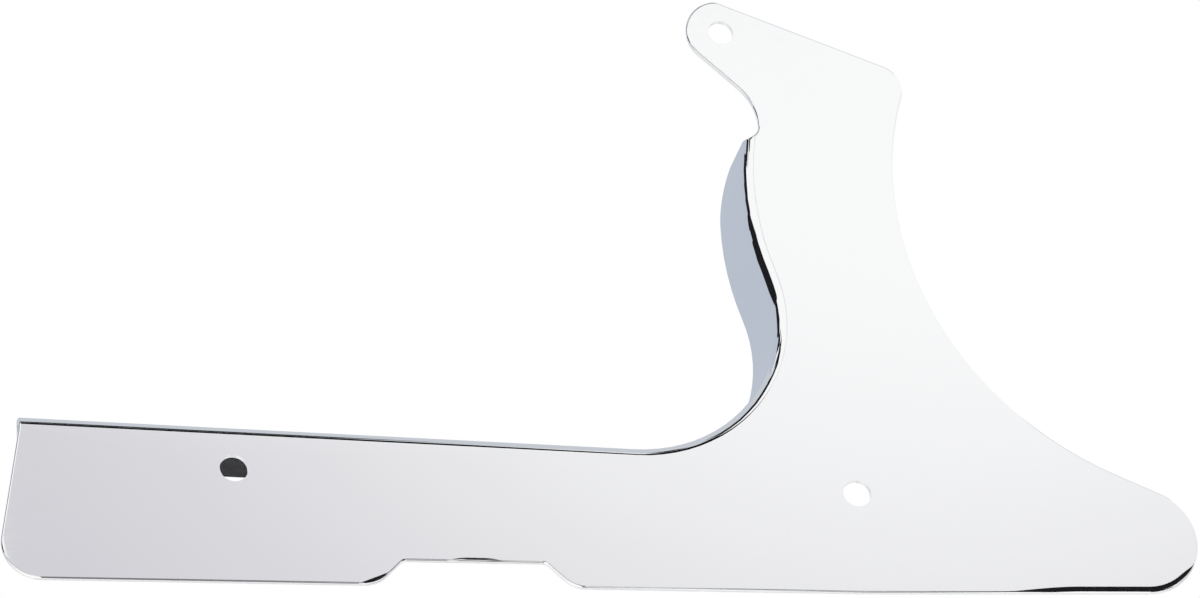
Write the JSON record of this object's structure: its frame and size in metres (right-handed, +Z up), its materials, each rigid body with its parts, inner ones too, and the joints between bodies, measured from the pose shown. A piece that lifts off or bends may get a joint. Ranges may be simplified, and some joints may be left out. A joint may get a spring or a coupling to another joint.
{
  "type": "rear belt guard",
  "caption": "Folded sheet guard for a motorcycle's rear drive belt: flat plate with a long front arm, an upright bolt tab, a swept tail and a flange that follows the arm and the upright.",
  "frame": {"origin": "axis of the rear bolt hole, on the plate's outer face", "axes": "+X to the rear along the arm's fold, +Y from the outer face towards the belt, +Z up"},
  "size_m": [0.4026, 0.0349, 0.229],
  "materials": {
    "chrome_sheet": "polished chrome plating on steel sheet"
  },
  "bodies": {
    "root": {"belt_guard": "chrome_sheet"}
  },
  "joints": []
}
